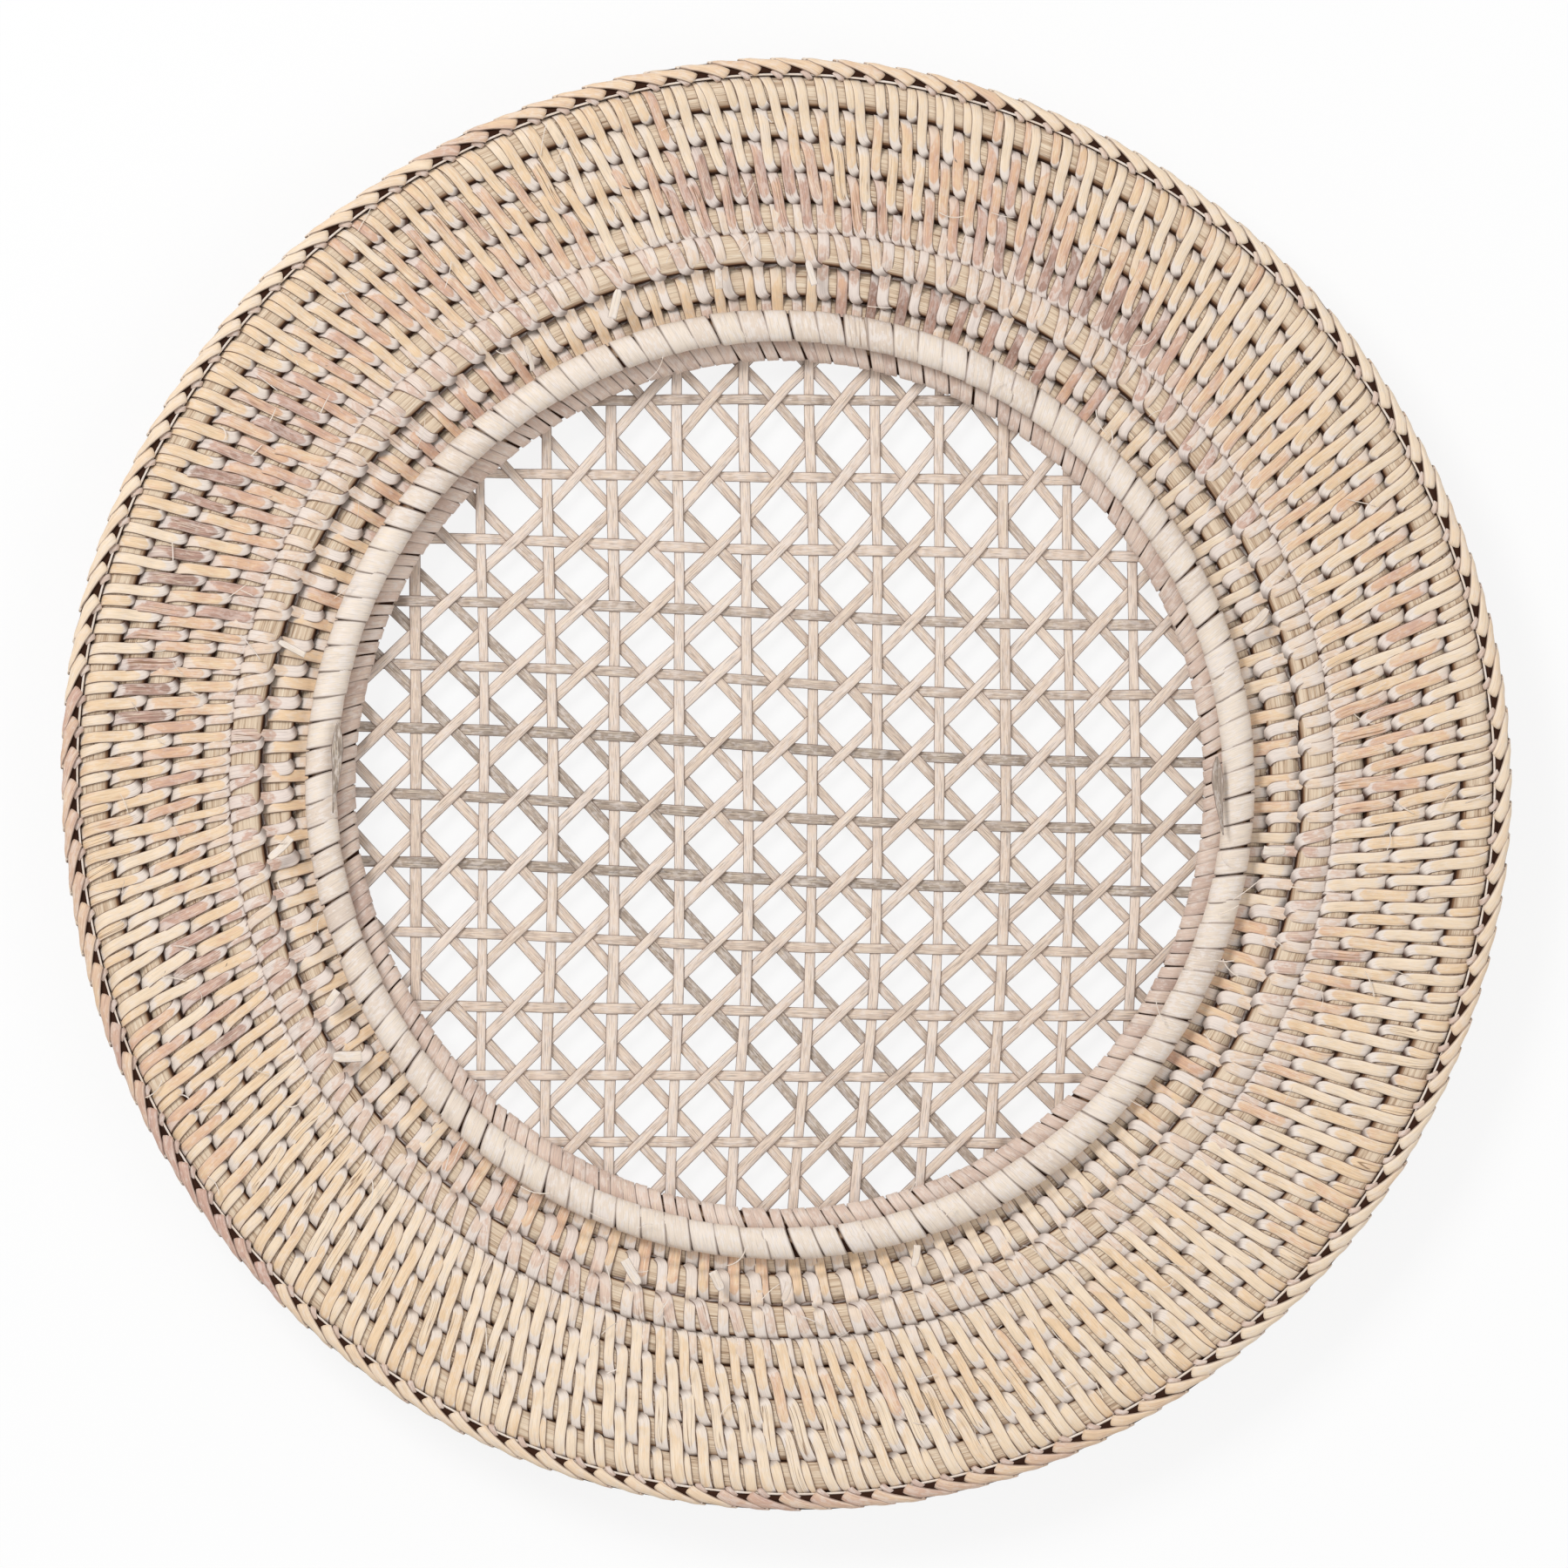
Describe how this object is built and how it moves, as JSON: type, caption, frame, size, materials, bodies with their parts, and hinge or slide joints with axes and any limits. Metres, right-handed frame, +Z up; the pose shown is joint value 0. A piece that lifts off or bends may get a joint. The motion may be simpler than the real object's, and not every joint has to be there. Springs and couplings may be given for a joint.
{
  "type": "winnowing basket",
  "caption": "Round shallow rattan basket with a wide coiled brim, a plaited edge and an open woven cane mesh floor.",
  "frame": {"origin": "on the table, under the centre of the basket", "axes": "+Z up, along the axis of the rings; the level canes run along X and the upright canes along Y"},
  "size_m": [0.35, 0.35, 0.0242],
  "materials": {
    "bound_rod": "matte, whitewashed rattan",
    "well_binding": "matte, whitewashed rattan",
    "plaited_cane": "matte, whitewashed rattan",
    "mesh_cane": "matte, whitewashed rattan"
  },
  "bodies": {
    "root": {"plaited_edge": "plaited_cane", "coil_row_1": "bound_rod", "coil_row_2": "bound_rod", "coil_row_3": "bound_rod", "coil_row_4": "bound_rod", "coil_row_5": "bound_rod", "coil_row_6": "bound_rod", "coil_row_7": "bound_rod", "coil_row_8": "bound_rod", "well_ring": "well_binding", "mesh_ring": "bound_rod", "foot_ring": "bound_rod", "falling_canes": "mesh_cane", "rising_canes": "mesh_cane", "upright_cane_01": "mesh_cane", "upright_cane_02": "mesh_cane", "upright_cane_03": "mesh_cane", "upright_cane_04": "mesh_cane", "upright_cane_05": "mesh_cane", "upright_cane_06": "mesh_cane", "upright_cane_07": "mesh_cane", "upright_cane_08": "mesh_cane", "upright_cane_09": "mesh_cane", "upright_cane_10": "mesh_cane", "upright_cane_11": "mesh_cane", "upright_cane_12": "mesh_cane", "level_cane_01": "mesh_cane", "level_cane_02": "mesh_cane", "level_cane_03": "mesh_cane", "level_cane_04": "mesh_cane", "level_cane_05": "mesh_cane", "level_cane_06": "mesh_cane", "level_cane_07": "mesh_cane", "level_cane_08": "mesh_cane", "level_cane_09": "mesh_cane", "level_cane_10": "mesh_cane", "level_cane_11": "mesh_cane", "level_cane_12": "mesh_cane"}
  },
  "joints": []
}
